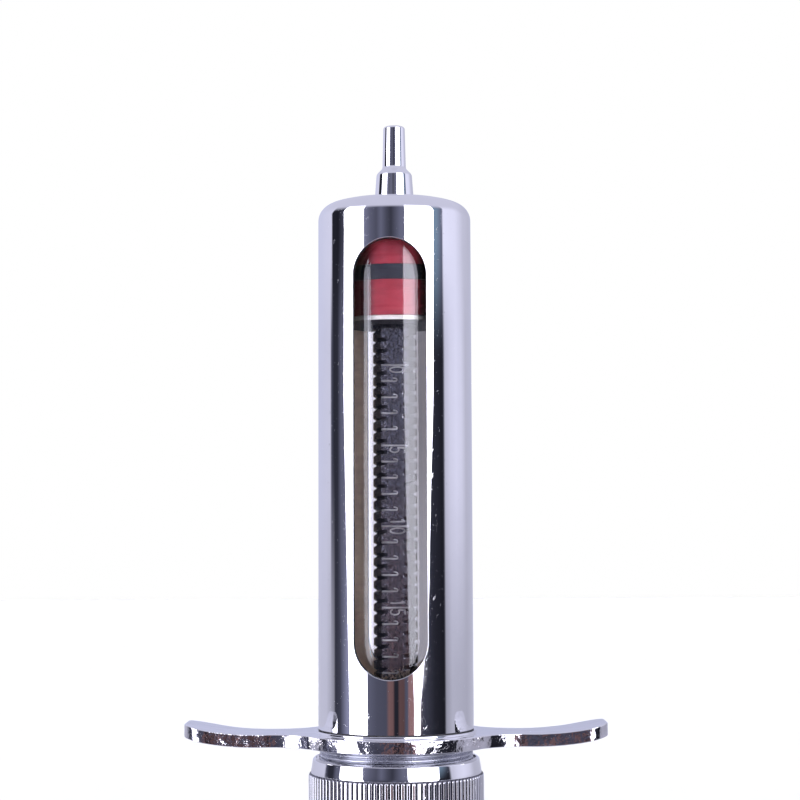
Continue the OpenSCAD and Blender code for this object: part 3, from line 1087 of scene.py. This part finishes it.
def studio_world():
    """White for the camera, a split backdrop through the glass, the studio for mirrors and matt surfaces."""
    soft_gain, soft_ceiling, left = 3.4, (0.75, 0.75, 0.74, 1), (0.80, 0.78, 0.90, 1)
    right_low, right_high = (0.36, 0.35, 0.41, 1), (0.215, 0.205, 0.24, 1)
    world = bpy.data.worlds.new("studio")
    bpy.context.scene.world = world
    tree = Tree(world)
    world.cycles.sampling_method = "NONE"
    place = tree.add("ShaderNodeTexCoord").outputs["Generated"]
    x, y, z = tree.add("ShaderNodeSeparateXYZ", ("Vector", place)).outputs
    turn = tree.math("ARCTAN2", x, tree.math("MULTIPLY", y, -1.0))
    azimuth = tree.math("ADD", tree.math("DIVIDE", turn, TAU), 0.5)
    mirrored = mirrored_studio(tree, azimuth, z)
    soft = tree.mix(tree.remap(z, 0.20, 0.50, 0, 1), tree.scale(mirrored, soft_gain), soft_ceiling)
    right = tree.mix(tree.remap(z, -0.03, 0.08, 0, 1), right_low, right_high)
    backdrop = tree.mix(tree.remap(x, -0.004, 0.004, 0, 1), left, right)
    path = tree.add("ShaderNodeLightPath")

    def bounced(kind):
        return tree.math("GREATER_THAN", path.outputs[kind], 0.5)

    seen = tree.mix(bounced("Transmission Depth"), (1, 1, 1, 1), backdrop)
    seen = tree.mix(bounced("Glossy Depth"), seen, mirrored)
    seen = tree.mix(bounced("Diffuse Depth"), seen, soft)
    background = tree.add("ShaderNodeBackground", ("Color", seen))
    tree.add("ShaderNodeOutputWorld", ("Surface", background.outputs["Background"]))


def studio_floor():
    """A plain pale floor, low enough for the plunger to be pulled right out above it.

    Only the camera and matt surfaces see it, because the world already holds what metal and glass show.
    """
    size, drop = 6000, 95
    mesh = bpy.data.meshes.new("floor")
    corners = [(-size, -size, -drop), (size, -size, -drop), (size, size, -drop), (-size, size, -drop)]
    mesh.from_pydata([Vector(c) * MM for c in corners], [], [(0, 1, 2, 3)])
    floor = bpy.data.objects.new("floor", mesh)
    bpy.context.scene.collection.objects.link(floor)
    material, tree, give = surface("floor_paint")
    give("Base Color", (0.80, 0.80, 0.79, 1))
    give("Roughness", tree.remap(tree.noise(40, 2), 0.3, 0.7, 0.8, 0.9))
    give("Specular IOR Level", 0.0)
    floor.data.materials.append(material)
    floor.visible_glossy = False
    floor.visible_transmission = False


def camera():
    """The photograph's view: a long lens, a little below the window's middle, tilted up at the barrel."""
    place = Vector((0.92, -330.9, FLANGE_TOP + 33.44))
    forward, upward = Vector((0, 0.9969, 0.0786)), Vector((0.0038, -0.0786, 0.9969))
    data = bpy.data.cameras.new("photo_view")
    data.lens, data.sensor_width = 81.62, 36
    eye = bpy.data.objects.new("photo_view", data)
    bpy.context.scene.collection.objects.link(eye)
    right = forward.cross(upward).normalized()
    up = right.cross(forward).normalized()
    turn = Matrix((right, up, -forward)).transposed().to_4x4()
    eye.matrix_world = Matrix.Translation(place * MM) @ turn
    bpy.context.scene.camera = eye


# --- assembly

def paint(piece, *materials):
    """Gives a new piece its materials, the first one for every face."""
    piece.data.materials.clear()
    for material in materials:
        piece.data.materials.append(material)


def paint_node(name, material):
    """Gives a CAD node that stays a material."""
    for slot in nodes[name].material_slots:
        slot.material = material


def paint_barrel_parts(dirt_and_shade):
    """The pieces that ride on the barrel, its cap and the nut, with the button."""
    plated = chrome("polished_chrome", (0.90, 0.90, 0.91), (0.84, 0.84, 0.86), 0.01, 0.05)
    cast = chrome("cast_chrome", (0.90, 0.90, 0.91), (0.82, 0.82, 0.85), 0.03, 0.08, blotch=0.25, grit=0)
    cast_edge = chrome("cast_edge", (0.88, 0.88, 0.90), (0.60, 0.58, 0.60), 0.04, 0.12, blotch=0.55, grit=4)
    bore = satin("dull_bore", (0.94, 0.76, 0.56), (0.80, 0.63, 0.46), 0.45, 900)
    # Near-black chrome: painted shade in the knurls' grooves.
    gap = chrome("gap_shade_chrome", (0.16, 0.16, 0.19), (0.07, 0.07, 0.09), 0.25, 0.45)
    threaded = chrome("thread_chrome", (0.66, 0.67, 0.73), (0.46, 0.47, 0.53), 0.20, 0.38)
    shell = barrel_shell()
    paint(shell, plated, bore, dirt_and_shade, threaded)
    sort_barrel_faces(shell)
    paint(nozzle(), plated)
    paint(front_plate(), plated)
    knurled = ((end_cap(), CAP_HIGH.x), (dose_nut(), NUT_HIGH.x), (thumb_button(), BUTTON_HIGH.x))
    # Each knurl's grooves get the near-black chrome as painted shade.
    for piece, outer in knurled:
        paint(piece, plated, gap)
        sort_faces(piece, knurl_gaps(outer))
    rest = finger_flange()
    paint(rest, cast, cast_edge)
    sort_faces(rest, lambda spot: spot.steep and spot.reach > BARREL_R + 1)
    paint(glass(), clear_glass())


def paint_piston_parts(dirt_and_shade):
    """The piston, the rod and its scale."""
    # Near-black chrome on the rod's thread crests and grooves: painted shade.
    painted_thread_shade = chrome("painted_thread_shade", (0.20, 0.20, 0.23), (0.07, 0.07, 0.09), 0.12, 0.30)
    rod_plating = rolled("rolled_chrome", (0.86, 0.85, 0.88), (0.26, 0.25, 0.28))
    stamped = satin("stamped_edges", (0.58, 0.57, 0.60), (0.26, 0.25, 0.27), 0.3, 2400)
    # The seals and the rear disc get painted shade at their sides.
    red = satin("red_silicone", (0.34, 0.036, 0.052), (0.27, 0.027, 0.04), 0.42, 1800, shaded_sides=True)
    black = satin("black_rubber", (0.035, 0.038, 0.05), (0.02, 0.022, 0.03), 0.35, 1800, shaded_sides=True)
    dull_plate = satin("dull_plate", (0.86, 0.84, 0.78), (0.70, 0.68, 0.62), 0.4, 1800, shaded_sides=True)
    disc = rear_washer()
    paint(disc, dull_plate, dirt_and_shade)
    # The disc's underside gets the near-black material as painted shade under it.
    sort_faces(disc, lambda spot: spot.z < WASHER_LOW.z + 0.01)
    paint(seal("front_seal_ring", "front_seal", True), red)
    paint(seal("middle_seal_ring", "middle_seal", False), black)
    paint(seal("rear_seal_ring", "rear_seal", True), red)
    plunger = rod()
    paint(plunger, rod_plating, painted_thread_shade)
    sort_faces(plunger, on_rod_thread)
    paint(rod_scale(), stamped)


def paint_small_parts():
    """The key washer and the CAD nodes that stay."""
    steel = turned("turned_steel", (0.62, 0.62, 0.64), (0.45, 0.45, 0.47), 0.25)
    brass = turned("turned_brass", (0.74, 0.56, 0.28), (0.55, 0.40, 0.18), 0.25)
    cream = satin("cream_gasket", (0.80, 0.77, 0.68), (0.70, 0.67, 0.58), 0.5, 1800)
    paint(dose_washer(), steel)
    for node, material in (("front_gasket", cream), ("rear_gasket", cream), ("pressure_ring", steel),
                           ("guide_bush", brass), ("button_pin", steel)):
        paint_node(node, material)


def main():
    """Builds and paints every piece, then the studio and the camera."""
    # Near-black: a dark joint at the flange, and painted shade on the window walls and under the rear disc.
    dirt_and_shade = satin("seam_dirt_and_painted_shade", (0.03, 0.03, 0.035), (0.015, 0.015, 0.02), 0.5, 1800)
    paint_barrel_parts(dirt_and_shade)
    paint_piston_parts(dirt_and_shade)
    paint_small_parts()
    studio_world()
    studio_floor()
    camera()
    bpy.context.scene.view_settings.view_transform = "Standard"


main()
